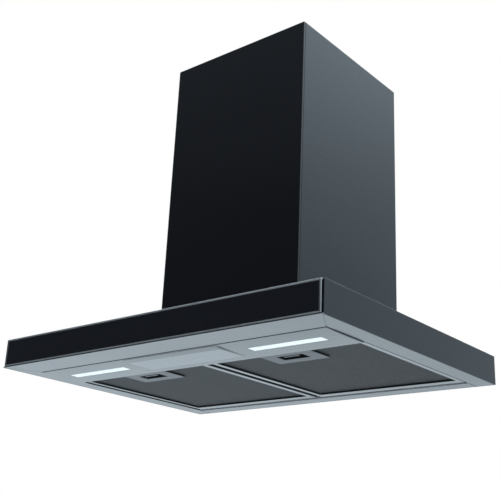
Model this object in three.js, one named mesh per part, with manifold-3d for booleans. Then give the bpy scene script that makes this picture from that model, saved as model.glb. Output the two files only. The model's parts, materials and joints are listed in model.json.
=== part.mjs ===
// Chimney range hood, 600 mm wide, hung on a wall over a cooktop.
// Units are millimetres. +Z is up, the front faces -Y, and +X is to the right of someone facing it.
// The hood group is drawn with Y = 0 at the wall and Z = 0 at the underside; the exported group moves
// it down so that its origin lies on the wall face, midway between the two hanging keyholes.
import * as THREE from "three";
import { mergeVertices } from "three/addons/utils/BufferGeometryUtils.js";
import Module from "manifold-3d";

// ---- driving dimensions ----

const sheet = 1; // steel sheet of the canopy, fan box and chimney
const fit = 0.3; // gap left where two pieces meet
const past = 1; // how far a cut runs past what it cuts

const canopyWidth = 600;
const canopyDepth = 454;
const canopyHeight = 44;
const flangeSide = 30; // width of the underside flange at its sides
const flangeFront = 50.5;
const flangeRear = 28;
const lipHeight = 6; // fold round the underside opening
const hemHeight = 12; // outer fold that stands inside the canopy walls
const jointWidth = 0.9; // joint lines at the flange corners
const jointDepth = 0.5;
const intakeWidth = 220; // hole in the canopy top, under the fan box
const intakeDepth = 238;

const glassThickness = 4;
const glassProud = 2.1; // the front glass stands this far in front of the canopy sides
const trimDepth = 3; // aluminium frame that carries the glass
const trimRim = 0.9; // its rim, which shows past the glass
const trimSide = 1.5;
const trimTop = 2.6;
const trimBottom = 1.4;
const trimLap = 4; // how far the glass lies over it
const trimGroove = 2.2; // shadow line between the rim and the canopy sides
const trimSeam = 1; // and between the rim and the underside flange
const touchWidth = 120; // touch board glued behind the front glass
const touchHeight = 24;
const touchThickness = 1.6;
const touchClear = 1.2; // round the board in the canopy's front wall

const panelDepth = 85; // bowed lamp panel in front of the filters
const panelGap = 1;
const panelLip = 0.6; // its front edge lies this far below the flange
const panelBelow = 2; // and its lowest line this far
const panelLow = 51; // from its front edge to that line
const panelBend = 2.5;
const panelSteps = 8;
const panelRim = 14;
const coverWidth = 178; // flat cover under the electronics
const coverFront = 2; // strip of panel in front of the cover
const coverRear = 21; // and behind it
const coverNose = 12; // its front slopes down over this depth
const coverLip = 0.3; // below the panel at its front edge
const coverDrop = 3.2; // below the flange where the slope ends
const coverTail = 2.4; // and at its rear
const coverRim = 6;
const controlHeight = 20; // driver housing on the cover
const controlWall = 2;
const controlInset = 3; // from its foot to its sides
const controlStep = 4; // from its sides to the raised lid
const lampLength = 120;
const lampDepth = 16;
const lampSide = 29.5; // from the panel's side to the lamp
const lampInset = 40; // from the panel's front edge to the middle of the lamp
const lensThickness = 1.2;
const lensLedge = 3.5;
const ledHeight = 9;
const ledWall = 2;
const ledFins = 5;
const ledChips = 10;
const chipSize = 3.5;
const chipDrop = 1;

const filterGap = 8.5; // between the two grease filters
const filterThickness = 8.6;
const filterRise = 1; // the filter face lies this far above the flange
const filterBack = 7; // from the pivot lip to the filter frame
const frameWall = 1.2;
const frameLip = 2.4; // rolled hem that shows round the mesh
const frameTopLip = 1;
const railSide = 9.5;
const railRear = 15;
const railFront = 5;
const tabWidth = 22;
const tabReach = 7; // past the pivot lip
const tabThickness = 1.5;
const tabSpread = 0.6; // share of the filter width between the two tabs

const handleWidth = 86.5;
const handleDepth = 52.5; // from the front of the filter; its face is level with the filter frame
const cupInset = 16;
const cupWidth = 44;
const cupDepth = 20;
const cupWall = 1;
const cupTop = 9;
const latchWidth = 26;
const latchThickness = 2.4;
const latchTab = 4;
const latchTabRise = 0.3; // from the handle face to the foot of the tab
const latchArm = 0.9;
const latchCurl = 4; // how far its arms curl back
const latchWaist = 1.5;
const latchRise = 0.5; // above the underside of the mesh

const railWidth = 28; // bar behind the gap between the filters
const railWeb = 10;
const railEnd = 6; // from its rear foot to the flange hem

const impellerRadius = 75;
const impellerHalf = 56;
const bladeRoot = 62;
const bladeCount = 36;
const bladeThickness = 1.2;
const bladeSweep = 9; // degrees that a blade leans forward from root to tip
const bladeTip = 0.5; // its tip lies this far inside the end rings
const bladeSteps = 3;
const impellerPlate = 2;
const hubRadius = 12;
const hubHalf = 9;
const shaftRadius = 4;
const fanCentreY = 115; // distance from the wall
const fanCentreZ = 160; // height above the underside
const scrollClearance = 9; // from the impeller to the start of the scroll
const scrollGrowth = 28; // from its start to its outlet
const scrollHalf = 65;
const scrollWall = 2;
const tongueOffset = 12;
const scrollRim = 6; // flange round the outlet
const scrollSeam = 3; // side plates stand this far past the scroll wall
const tongueRise = 4;
const scrollTurn = 1.5 * Math.PI;
const scrollSteps = 36;
const throatRadius = 64;
const inletRadius = 74;
const inletFlange = 84;
const inletWall = 1.5;
const inletTip = 3; // from the inlet throat to the impeller
const bellSteps = 4;
const motorRadius = 40;
const motorGap = 8; // from the impeller plate to the motor
const motorBoss = 14;
const motorFace = 6; // from the bracket to the motor's end cover
const motorChamfer = 4;
const motorCrown = 6;
const ventCount = 12; // cooling slots round the motor
const ventWidth = 3;
const ventLength = 16;
const ventDepth = 3;
const shaftEnd = 3; // shaft past the hub
const bracketPlate = 2;
const bracketRing = 6; // bracket round the boss
const armWidth = 10;
const armCount = 3;
const armEnd = 2; // from the arm's end to the edge of the inlet flange

const boxWidth = 236; // fan box
const boxDepth = 262;
const boxTop = 300;
const boxFlange = 5;
const outletHole = 70;
const hangHeight = 260; // keyhole centres above the underside
const hangSpacing = 160;
const keyholeHead = 6;
const keyholeSlot = 2.6;
const keyholeRise = 12;
const fixingHole = 3;
const fixingHeight = 70;

const collarRadius = 75; // outside, for a 150 mm duct
const collarWall = 2;
const collarHeight = 58;
const collarFlange = 84;
const stopWidth = 2.5; // ledge that the closed flaps rest on
const stopThickness = 1.5;
const flapHeight = 16; // flap pivot above the collar flange
const flapThickness = 1.2;
const pinRadius = 1.5;
const knuckleWall = 1.2;
const knuckleCount = 4;
const knuckleEnd = 4; // from the pin's ends to the first knuckle

const terminalWidth = 80;
const terminalDepth = 50;
const terminalHeight = 36;
const terminalLid = 8;
const terminalInset = 2;
const terminalSide = 10; // from the side of the fan box
const terminalBack = 8; // from the wall
const glandRadius = 9;
const glandHeight = 18;
const glandFoot = 5;
const glandWaist = 2;
const capacitorRadius = 16;
const capacitorLength = 60;
const capacitorBead = 1;
const capacitorStud = 5;
const capacitorSide = 20;
const capacitorBack = 10;

const chimneyWidth = 272;
const chimneyDepth = 277;
const chimneyBack = 8; // from the wall to the chimney
const chimneyTop = 549;
const chimneyGlass = 4;
const chimneyReturn = 12;
const chimneyFoot = 8;
const sleeveGap = 1.2; // between the two chimney sleeves
const sleeveLength = 494;
const louvreCount = 7; // slots near the top of each side of the upper sleeve
const louvreLength = 150;
const louvreHeight = 5;
const louvrePitch = 13;
const louvreTop = 30; // below the top of the sleeve
const bracketThickness = 1.5;
const bracketHeight = 24;
const bracketSlack = 3; // between the bracket and the sleeves' returns
const bracketDrop = 40; // below the chimney top
const bracketArm = 40;
const bracketTab = 34;

const roundSteps = 40; // sides of a large circle
const ringSteps = 36; // of a fan ring or the impeller
const smallSteps = 24; // of a boss or a capacitor
const pinSteps = 16; // of a pin or a screw hole

// ---- solids ----

const wasm = await Module();
wasm.setup();

function toSolid(geometry) {
  const bare = geometry.clone();
  bare.deleteAttribute("normal");
  bare.deleteAttribute("uv");
  const merged = mergeVertices(bare, 1e-4);
  return new wasm.Manifold(new wasm.Mesh({
    numProp: 3,
    vertProperties: new Float32Array(merged.attributes.position.array),
    triVerts: new Uint32Array(merged.index.array),
  }));
}

function toGeometry(solid) {
  const mesh = solid.getMesh();
  const geometry = new THREE.BufferGeometry();
  geometry.setAttribute("position", new THREE.BufferAttribute(mesh.vertProperties, 3));
  geometry.setIndex(new THREE.BufferAttribute(mesh.triVerts, 1));
  geometry.computeVertexNormals();
  return geometry;
}

function join(first, ...others) {
  return toGeometry(others.reduce((solid, next) => solid.add(toSolid(next)), toSolid(first)));
}

function cut(first, ...others) {
  return toGeometry(others.reduce((solid, next) => solid.subtract(toSolid(next)), toSolid(first)));
}

// A block between two corners.
function block(x0, x1, y0, y1, z0, z1) {
  const geometry = new THREE.BoxGeometry(x1 - x0, y1 - y0, z1 - z0);
  return geometry.translate((x0 + x1) / 2, (y0 + y1) / 2, (z0 + z1) / 2);
}

function extrude(outline, length, holes = []) {
  const shape = outline instanceof THREE.Shape ? outline : new THREE.Shape(outline);
  shape.holes.push(...holes);
  return new THREE.ExtrudeGeometry(shape, { depth: length, bevelEnabled: false, curveSegments: 10 });
}

const alongX = new THREE.Vector3(1, 0, 0);
const alongY = new THREE.Vector3(0, 1, 0);
const alongZ = new THREE.Vector3(0, 0, 1);

// An outline in Y and Z, drawn out along X.
function prismX(outline, x0, x1) {
  const turn = new THREE.Matrix4().makeBasis(alongY, alongZ, alongX);
  return extrude(outline, x1 - x0).applyMatrix4(turn).translate(x0, 0, 0);
}

// An outline in X and Y, drawn out along Z.
function prismZ(outline, z0, z1) {
  return extrude(outline, z1 - z0).translate(0, 0, z0);
}

// A cylinder along an axis through a point.
function rod(axis, radius, from, to, centre, steps = roundSteps) {
  const geometry = new THREE.CylinderGeometry(radius, radius, to - from, steps);
  geometry.rotateX(Math.PI / 2).translate(0, 0, (from + to) / 2);
  if (axis === "x") geometry.applyMatrix4(new THREE.Matrix4().makeBasis(alongY, alongZ, alongX));
  if (axis === "y") geometry.applyMatrix4(new THREE.Matrix4().makeBasis(alongZ, alongX, alongY));
  return geometry.translate(...centre);
}

// A turned piece: pairs of radius and height about Z, closed on the axis or on itself.
function turned(profile, steps = roundSteps) {
  const points = profile.map(([radius, height]) => new THREE.Vector2(radius, height));
  return new THREE.LatheGeometry(points, steps).rotateX(Math.PI / 2);
}

function onXAxis(geometry) {
  return geometry.applyMatrix4(new THREE.Matrix4().makeBasis(alongY, alongZ, alongX));
}

// The outline of a folded sheet: the path and the same path moved to its left by the thickness.
function foldedSheet(path, thickness) {
  const points = path.map(([u, v]) => new THREE.Vector2(u, v));
  const normals = points.slice(1).map((point, i) => {
    const along = point.clone().sub(points[i]).normalize();
    return new THREE.Vector2(-along.y, along.x);
  });
  const moved = points.map((point, i) => {
    const before = normals[Math.max(i - 1, 0)];
    const after = normals[Math.min(i, normals.length - 1)];
    const mitre = before.clone().add(after);
    return point.clone().addScaledVector(mitre, (2 * thickness) / mitre.lengthSq());
  });
  return [...points, ...moved.reverse()];
}

// ---- materials ----

function finish(color, roughness, metalness) {
  return () => new THREE.MeshStandardMaterial({ color, roughness, metalness });
}

const blackSteel = finish(0x3b3f46, 0.42, 0.4);
const brushedSteel = finish(0xaeb4bd, 0.34, 0.9);
const blackGlass = finish(0x08090b, 0.06, 0);
const aluminium = finish(0xc9cdd2, 0.28, 0.95);
const filterMesh = finish(0x5a5f66, 0.5, 0.8);
const frosted = finish(0xffffff, 0.4, 0);
const zincSteel = finish(0x9da3a8, 0.5, 0.8);
const blackPlastic = finish(0x1b1c1f, 0.55, 0);
const greyPlastic = finish(0xb9bcbf, 0.5, 0);
const circuitGreen = finish(0x1f5a38, 0.5, 0);
const motorSteel = finish(0x70757b, 0.45, 0.8);

const hood = new THREE.Group();

function piece(group, name, geometry, material) {
  const mesh = new THREE.Mesh(geometry, material());
  mesh.name = name;
  group.add(mesh);
  return mesh;
}

const sides = [["left", -1], ["right", 1]];

// ---- canopy ----

const halfWidth = canopyWidth / 2;
const frontY = -canopyDepth;
const sideFront = frontY + glassProud;
const trimFront = frontY + glassThickness + fit;
const rimRear = trimFront + trimRim;
const trimRear = trimFront + trimDepth;
const shellFront = trimRear + fit;
const shellBottom = sheet + fit;
const topUnder = canopyHeight - sheet;
const openHalf = halfWidth - flangeSide;
const openFront = frontY + flangeFront;
const openRear = -flangeRear;

const canopy = new THREE.Group();
hood.add(canopy);

// Painted shell: top, sides, back and the wall behind the glass, with the intake hole and touch window.
// Its sides reach forward past the frame of the glass, and its top ends behind the rim.
const boxFrontY = -boxDepth;
const intakeRear = -(boxDepth - intakeDepth) / 2;
const glassLow = sheet + trimSeam + trimBottom;
const glassHigh = canopyHeight - trimTop;
const glassMid = (glassLow + glassHigh) / 2;
const touchHalf = touchWidth / 2 + touchClear;
const touchHigh = touchHeight / 2 + touchClear;
const innerHalf = halfWidth - sheet;
piece(canopy, "canopy_shell", cut(
  block(-halfWidth, halfWidth, sideFront, 0, 0, canopyHeight),
  block(-innerHalf, innerHalf, sideFront - past, rimRear + fit, -past, canopyHeight + past),
  block(-innerHalf, innerHalf, sideFront, shellFront, -past, topUnder),
  block(-innerHalf, innerHalf, sideFront, shellFront + sheet + past, -past, shellBottom),
  block(-innerHalf, innerHalf, shellFront + sheet, -sheet, -past, topUnder),
  block(-intakeWidth / 2, intakeWidth / 2, intakeRear - intakeDepth, intakeRear, 0, canopyHeight + past),
  block(-touchHalf, touchHalf, sideFront, shellFront + sheet + past,
    glassMid - touchHigh, glassMid + touchHigh),
), blackSteel);

// Brushed underside flange with a lip round its opening and a hem inside the canopy walls.
// The joint at a front corner is mitred; at the rear the end strip butts against the side strip.
function mitre(side) {
  const runX = -side * flangeSide;
  const length = Math.hypot(runX, flangeFront) + jointWidth;
  const groove = new THREE.BoxGeometry(2 * length, jointWidth, 2 * jointDepth);
  return groove.rotateZ(Math.atan2(flangeFront, runX)).translate(side * halfWidth, frontY, 0);
}
const hemX = innerHalf - fit;
const hemFront = shellFront + sheet + fit;
const hemRear = -sheet - fit;
const flange = join(
  block(-halfWidth, halfWidth, frontY, sideFront - fit, 0, sheet),
  block(-hemX, hemX, frontY, hemRear, 0, sheet),
  cut(
    block(-hemX, hemX, hemFront, hemRear, 0, hemHeight),
    block(sheet - hemX, hemX - sheet, hemFront + sheet, hemRear - sheet, sheet, hemHeight + past),
  ),
  block(-openHalf - sheet, openHalf + sheet, openFront - sheet, openRear + sheet, 0, lipHeight),
);
const flangeCuts = [
  block(-openHalf, openHalf, openFront, openRear, -past, hemHeight),
  ...sides.flatMap(([, side]) => [
    mitre(side),
    block(side * openHalf - jointWidth / 2, side * openHalf + jointWidth / 2, openRear - past, past,
      -past, jointDepth),
  ]),
];
piece(canopy, "underside_frame", cut(flange, ...flangeCuts), brushedSteel);

// Front glass, glued to an aluminium frame whose rim shows all round it.
const trimLow = sheet + trimSeam;
const rimHalf = innerHalf - trimGroove;
const glassHalf = rimHalf - trimSide;
piece(canopy, "glass_trim", cut(
  join(
    block(-rimHalf, rimHalf, trimFront, rimRear, trimLow, canopyHeight),
    block(fit - innerHalf, innerHalf - fit, trimFront, trimRear, trimLow, topUnder - fit),
  ),
  block(trimLap - glassHalf, glassHalf - trimLap, trimFront - past, trimRear + past,
    glassLow + trimLap, glassHigh - trimLap),
), aluminium);
const glassBack = frontY + glassThickness;
piece(canopy, "front_glass", block(-glassHalf, glassHalf, frontY, glassBack, glassLow, glassHigh),
  blackGlass);
piece(canopy, "touch_board", block(-touchWidth / 2, touchWidth / 2, glassBack + fit,
  glassBack + fit + touchThickness, glassMid - touchHeight / 2, glassMid + touchHeight / 2), circuitGreen);

// ---- lamp panel and electronics ----

const panelHalf = openHalf - panelGap;
const panelFront = openFront + panelGap;
const panelRear = panelFront + panelDepth;
const panelBow = panelBelow - panelLip;

// Height and slope of the panel's underside at a distance from the wall.
function panelUnder(y) {
  return panelBow * (1 - (y - panelFront) / panelLow) ** 2 - panelBelow;
}
function panelSlope(y) {
  return (-2 * panelBow * (1 - (y - panelFront) / panelLow)) / panelLow;
}

const coverHalf = coverWidth / 2;
const coverStart = panelFront + coverFront;
const coverEnd = panelRear - coverRear;
const filterFront = panelRear + panelGap;
const lampReach = lampLength / 2;
const lampX = panelHalf - lampSide - lampReach;
const lampY = panelFront + lampInset;
const filterHalf = (openHalf - 1.5 * panelGap - filterGap / 2) / 2;
const filterX = filterGap / 2 + filterHalf;
const notchHalf = latchWidth / 2 + fit;

const bendY = panelRear - panelBend;
const bowPath = Array.from({ length: panelSteps + 1 }, (_, i) => {
  const y = panelFront + ((bendY - panelFront) * i) / panelSteps;
  return [y, panelUnder(y)];
});
const bendPath = [1, 2, 3].map((i) => [
  bendY + panelBend * Math.sin((i * Math.PI) / 6),
  panelUnder(bendY) + panelBend * (1 - Math.cos((i * Math.PI) / 6)),
]);
const folded = prismX(foldedSheet([
  [panelFront, panelRim],
  ...bowPath,
  ...bendPath,
  [panelRear, panelRim],
], sheet), -panelHalf, panelHalf);
const windowLow = -panelBelow - past;
const windowHigh = sheet + past;
piece(canopy, "lamp_panel", cut(folded,
  block(-coverHalf - fit, coverHalf + fit, coverStart - fit, coverEnd + fit, windowLow, windowHigh),
  ...sides.map(([, side]) => block(side * lampX - lampReach, side * lampX + lampReach,
    lampY - lampDepth / 2, lampY + lampDepth / 2, windowLow, windowHigh)),
), brushedSteel);

// The cover's front slopes down from the panel; the rest of it rises gently to the rear.
function coverOutline(inset, top) {
  const points = [
    [coverStart + inset, top],
    [coverStart + inset, panelUnder(coverStart) - coverLip + inset],
    [coverStart + coverNose, inset - coverDrop],
    [coverEnd - inset, inset - coverTail],
    [coverEnd - inset, top],
  ];
  return points.map(([y, z]) => new THREE.Vector2(y, z));
}
piece(canopy, "control_cover", cut(
  prismX(coverOutline(0, coverRim), -coverHalf, coverHalf),
  prismX(coverOutline(sheet, coverRim + past), sheet - coverHalf, coverHalf - sheet),
), brushedSteel);

// Driver housing on the rim of the cover: a foot, a body and a raised lid.
const controlLow = coverRim + fit;
function controlTier(inset, top) {
  return block(inset - coverHalf, coverHalf - inset, coverStart + inset, coverEnd - inset, controlLow, top);
}
piece(canopy, "control_box", join(
  controlTier(0, controlLow + controlWall),
  controlTier(controlInset, controlLow + controlHeight),
  controlTier(controlInset + controlStep, controlLow + controlHeight + controlWall),
), blackPlastic);

// A lens drops into each window from above, with a finned LED carrier standing on its ledge.
for (const [label, side] of sides) {
  const lamp = new THREE.Group();
  lamp.position.set(side * lampX, lampY, panelUnder(lampY));
  lamp.rotation.x = Math.atan(panelSlope(lampY));
  canopy.add(lamp);

  const lensHalf = lampReach - fit;
  const lensDeep = lampDepth / 2 - fit;
  const ledgeLow = sheet + fit;
  const ledgeHigh = ledgeLow + lensThickness;
  piece(lamp, `lamp_lens_${label}`, join(
    block(-lensHalf, lensHalf, -lensDeep, lensDeep, 0, ledgeLow + lensThickness / 2),
    block(-lampReach - lensLedge, lampReach + lensLedge, -lampDepth / 2 - lensLedge,
      lampDepth / 2 + lensLedge, ledgeLow, ledgeHigh),
  ), frosted);

  const footLow = ledgeHigh + fit;
  const plateLow = footLow + ledWall;
  const plateHigh = plateLow + ledWall;
  const deep = lampDepth / 2 + lensLedge;
  const comb = [[-deep, footLow], [ledWall - deep, footLow], [ledWall - deep, plateLow],
    [deep - ledWall, plateLow], [deep - ledWall, footLow], [deep, footLow], [deep, plateHigh]];
  const finPitch = (2 * deep) / (2 * ledFins - 1);
  for (let fin = 0; fin < ledFins; fin += 1) {
    const right = deep - 2 * fin * finPitch;
    if (fin > 0) comb.push([right, plateHigh]);
    comb.push([right, plateLow + ledHeight], [right - finPitch, plateLow + ledHeight]);
    if (fin < ledFins - 1) comb.push([right - finPitch, plateHigh]);
  }
  const outline = comb.map(([y, z]) => new THREE.Vector2(y, z));
  const chips = Array.from({ length: ledChips }, (_, i) => {
    const x = ((i + 0.5) / ledChips - 0.5) * lampLength;
    return block(x - chipSize / 2, x + chipSize / 2, -chipSize / 2, chipSize / 2,
      plateLow - chipDrop, plateLow + ledWall / 2);
  });
  piece(lamp, `led_module_${label}`, join(prismX(outline, -lampReach, lampReach), ...chips), aluminium);
}

// ---- grease filters ----

const filterLow = filterRise;
const filterHigh = filterLow + filterThickness;
const filterRear = openRear - filterBack;
const pivotZ = lipHeight;
const meshLow = filterLow + frameLip + fit;
const meshHigh = filterHigh - frameTopLip - fit;
const cupFront = filterFront + cupInset;
const latchLow = meshLow + latchRise;
const latchHigh = latchLow + latchThickness;
const cupHalf = cupWidth / 2;
const meshCut = cupHalf + cupWall + fit;

// Latch seen from below: a tongue that meets the panel, with two sprung arms that curve back against
// the cup's sides.
function latchOutline() {
  const half = latchWidth / 2;
  const front = filterFront + fit - panelGap;
  const rear = cupFront + 2 * latchTab;
  const armTip = cupHalf - fit;
  const reach = armTip - half + latchArm;
  const shape = new THREE.Shape();
  shape.moveTo(-half, front);
  shape.lineTo(half, front);
  shape.lineTo(half, rear - latchWaist);
  shape.quadraticCurveTo(half + reach / 2, rear, armTip, rear + latchCurl);
  shape.lineTo(armTip - latchArm, rear + latchCurl + latchArm / 2);
  shape.quadraticCurveTo(half, rear + latchArm, half - latchArm, rear + latchArm);
  shape.lineTo(latchArm - half, rear + latchArm);
  shape.quadraticCurveTo(-half, rear + latchArm, latchArm - armTip, rear + latchCurl + latchArm / 2);
  shape.lineTo(-armTip, rear + latchCurl);
  shape.quadraticCurveTo(-half - reach / 2, rear, -half, rear - latchWaist);
  return shape;
}

for (const [label, side] of sides) {
  const filter = new THREE.Group();
  filter.position.x = side * filterX;
  hood.add(filter);

  const tabX = filterHalf * tabSpread;
  const tabRear = openRear + tabReach;
  const frame = cut(
    block(-filterHalf, filterHalf, filterFront, filterRear, filterLow, filterHigh),
    block(frameWall - filterHalf, filterHalf - frameWall, filterFront + frameWall, filterRear - frameWall,
      filterLow + frameLip, filterHigh - frameTopLip),
    block(railSide - filterHalf, filterHalf - railSide, filterFront + railFront, filterRear - railRear,
      filterLow - past, filterHigh + past),
    block(-notchHalf, notchHalf, filterFront - past, filterFront + frameWall + past,
      latchLow - fit, latchHigh + fit),
  );
  piece(filter, `filter_frame_${label}`, join(frame, ...[-tabX, tabX].map((x) => block(
    x - tabWidth / 2, x + tabWidth / 2, filterRear - frameWall / 2, tabRear, pivotZ + fit,
    pivotZ + fit + tabThickness))), aluminium);

  const meshX = filterHalf - frameWall - fit;
  piece(filter, `filter_mesh_${label}`, cut(
    block(-meshX, meshX, filterFront + frameWall + fit, filterRear - frameWall - fit, meshLow, meshHigh),
    block(-meshCut, meshCut, cupFront - cupWall - fit, cupFront + cupDepth + cupWall + fit,
      meshLow - past, meshHigh + past),
    block(-notchHalf, notchHalf, filterFront, cupFront, meshLow - past, meshHigh + past),
  ), filterMesh);

  const handleHalf = handleWidth / 2;
  const handleRear = filterFront + handleDepth;
  const padTop = meshLow - fit;
  const padFront = filterFront + railFront + fit;
  piece(filter, `filter_handle_${label}`, cut(
    join(
      block(-handleHalf, handleHalf, padFront, handleRear, filterLow, padTop),
      block(-cupHalf - cupWall, cupHalf + cupWall, cupFront - cupWall, cupFront + cupDepth + cupWall,
        filterLow, cupTop + cupWall),
    ),
    block(-cupHalf, cupHalf, cupFront, cupFront + cupDepth, filterLow - past, cupTop),
    block(-notchHalf, notchHalf, filterFront, cupFront + past, latchLow - fit, latchHigh + fit),
  ), brushedSteel);

  const tabY = cupFront + latchTab;
  piece(filter, `latch_${label}`, join(
    prismZ(latchOutline(), latchLow, latchHigh),
    block(-latchWidth / 2, latchWidth / 2, tabY, tabY + latchTab, filterLow + latchTabRise,
      latchHigh),
  ), greyPlastic);
}

// T-shaped bar behind the gap between the filters, from the lamp panel to the rear flange.
const barLow = filterHigh + fit;
const barFront = panelRear + fit;
const barRear = hemRear - sheet - railEnd;
piece(canopy, "centre_rail", join(
  block(-railWidth / 2, railWidth / 2, barFront, barRear, barLow, barLow + sheet),
  block(-sheet / 2, sheet / 2, barFront, barRear, barLow, barLow + railWeb),
  block(-railWidth / 2, railWidth / 2, barRear - sheet, barRear, sheet + fit, barLow + sheet),
), zincSteel);

// ---- fan box ----

const fan = new THREE.Group();
hood.add(fan);

const boxHalf = boxWidth / 2;
const boxLow = canopyHeight + fit;
const scrollStart = impellerRadius + scrollClearance;
const scrollEnd = scrollStart + scrollGrowth;
const fanY = -fanCentreY;
const ductFront = fanY - scrollEnd;
const ductRear = fanY - tongueOffset;
const outletY = (ductFront + ductRear) / 2;

// A keyhole widens at its foot, so that a screw head enters there and the slot drops onto its neck.
function keyhole(x) {
  return join(
    rod("y", keyholeHead, -sheet - past, past, [x, 0, hangHeight], smallSteps),
    block(x - keyholeSlot, x + keyholeSlot, -sheet - past, past, hangHeight, hangHeight + keyholeRise),
  );
}
piece(fan, "fan_box", cut(
  join(
    block(-boxHalf, boxHalf, boxFrontY, 0, boxLow, boxTop),
    block(-boxHalf - boxFlange, boxHalf + boxFlange, boxFrontY - boxFlange, 0, boxLow, boxLow + sheet),
  ),
  block(sheet - boxHalf, boxHalf - sheet, boxFrontY + sheet, -sheet, boxLow - past, boxTop - sheet),
  rod("z", outletHole, boxTop - sheet - past, boxTop + past, [0, outletY, 0]),
  ...[-1, 1].flatMap((way) => [
    keyhole(way * hangSpacing / 2),
    rod("y", fixingHole, -sheet - past, past, [way * hangSpacing / 2, 0, fixingHeight], pinSteps),
  ]),
), zincSteel);

// ---- scroll housing: a spiral that grows over three quarters of a turn into an upright duct ----

const scrollTop = boxTop - sheet - fit;

function scrollOutline(wall, top) {
  const points = [];
  for (let i = 0; i <= scrollSteps; i += 1) {
    const turn = (i / scrollSteps) * scrollTurn;
    const radius = scrollStart + (scrollGrowth * i) / scrollSteps + wall;
    points.push([fanY + radius * Math.sin(turn), fanCentreZ + radius * Math.cos(turn)]);
  }
  const tongueZ = fanCentreZ + scrollStart + wall + tongueRise;
  points.push([ductFront - wall, top], [ductRear + wall, top], [ductRear + wall, tongueZ]);
  return points.map(([y, z]) => new THREE.Vector2(y, z));
}
const scrollOuter = scrollHalf + scrollWall;
const scrollPlate = scrollOutline(scrollWall + scrollSeam, scrollTop);
piece(fan, "scroll_housing", cut(
  join(
    prismX(scrollOutline(scrollWall, scrollTop), -scrollOuter, scrollOuter),
    prismX(scrollPlate, -scrollOuter, -scrollHalf),
    prismX(scrollPlate, scrollHalf, scrollOuter),
    block(-scrollOuter - scrollRim, scrollOuter + scrollRim, ductFront - scrollWall - scrollRim,
      ductRear + scrollWall + scrollRim, scrollTop - scrollWall, scrollTop),
  ),
  prismX(scrollOutline(0, scrollTop + past), -scrollHalf, scrollHalf),
  rod("x", inletRadius, -scrollOuter - past, scrollOuter + past, [0, fanY, fanCentreZ]),
), zincSteel);

// Bell-mouth ring in each side of the scroll.
const bellTip = impellerHalf + inletTip;
const bellFace = scrollOuter + fit;
function bellProfile() {
  const outer = bellFace + inletWall;
  const depth = outer - bellTip;
  const reach = inletRadius - inletWall - fit - throatRadius;
  const curve = (inset, i) => {
    const angle = (i / bellSteps) * (Math.PI / 2);
    return [
      throatRadius + reach * (1 - Math.cos(angle)) + inset * Math.cos(angle),
      bellTip + depth * Math.sin(angle) - inset * Math.sin(angle),
    ];
  };
  const stations = Array.from({ length: bellSteps + 1 }, (_, i) => i);
  const back = stations.map((i) => curve(inletWall, i));
  const mouth = stations.map((i) => curve(0, i)).reverse();
  return [...back, [inletFlange, bellFace], [inletFlange, outer], ...mouth, back[0]];
}
for (const [label, side] of sides) {
  const ring = onXAxis(turned(bellProfile(), ringSteps));
  if (side < 0) ring.rotateZ(Math.PI);
  piece(fan, `inlet_ring_${label}`, ring, zincSteel).position.set(0, fanY, fanCentreZ);
}

// ---- impeller: forward-curved blades on both faces of a centre plate ----

function bladeOutline() {
  const sweep = THREE.MathUtils.degToRad(bladeSweep);
  const face = (offset) => Array.from({ length: bladeSteps + 1 }, (_, i) => {
    const share = i / bladeSteps;
    const radius = bladeRoot + (impellerRadius - bladeTip - bladeRoot) * share;
    const angle = sweep * share * share + offset / radius;
    return new THREE.Vector2(radius * Math.cos(angle), radius * Math.sin(angle));
  });
  return [...face(-bladeThickness / 2), ...face(bladeThickness / 2).reverse()];
}
const rim = impellerHalf - impellerPlate;
function endRing(low) {
  return onXAxis(turned([[bladeRoot, low], [impellerRadius, low], [impellerRadius, low + impellerPlate],
    [bladeRoot, low + impellerPlate], [bladeRoot, low]], ringSteps));
}
const centrePlate = onXAxis(turned([
  [shaftRadius + fit, -hubHalf],
  [hubRadius, -hubHalf],
  [hubRadius, -impellerPlate / 2],
  [impellerRadius, -impellerPlate / 2],
  [impellerRadius, impellerPlate / 2],
  [hubRadius, impellerPlate / 2],
  [hubRadius, hubHalf],
  [shaftRadius + fit, hubHalf],
  [shaftRadius + fit, -hubHalf],
], ringSteps));
const blades = Array.from({ length: bladeCount }, (_, i) =>
  prismX(bladeOutline(), -rim - impellerPlate / 2, rim + impellerPlate / 2)
    .rotateX(((i + 0.25) / bladeCount) * 2 * Math.PI));
piece(fan, "impeller", join(centrePlate, endRing(-impellerHalf), endRing(rim), ...blades), blackPlastic)
  .position.set(0, fanY, fanCentreZ);

// Motor inside the left half of the impeller, on a three-armed bracket over the left inlet.
const motorEnd = -hubHalf - motorGap;
const bracketIn = -bellFace - inletWall - fit;
const bracketEnd = bracketIn - bracketPlate;
const motorBody = onXAxis(turned([
  [0, bracketIn + fit],
  [motorBoss, bracketIn + fit],
  [motorBoss, bracketIn + motorFace],
  [motorRadius - motorChamfer, bracketIn + motorFace],
  [motorRadius, bracketIn + motorFace + motorChamfer],
  [motorRadius, motorEnd - motorCrown],
  [motorRadius - motorCrown, motorEnd],
  [shaftRadius, motorEnd],
  [shaftRadius, hubHalf + shaftEnd],
  [0, hubHalf + shaftEnd],
], ringSteps));
const ventMid = (bracketIn + motorFace + motorEnd) / 2;
const vents = Array.from({ length: ventCount }, (_, i) => block(ventMid - ventLength / 2,
  ventMid + ventLength / 2, -ventWidth / 2, ventWidth / 2, motorRadius - ventDepth, motorRadius + past)
  .rotateX((i / ventCount) * 2 * Math.PI));
piece(fan, "fan_motor", cut(motorBody, ...vents), motorSteel).position.set(0, fanY, fanCentreZ);
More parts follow.
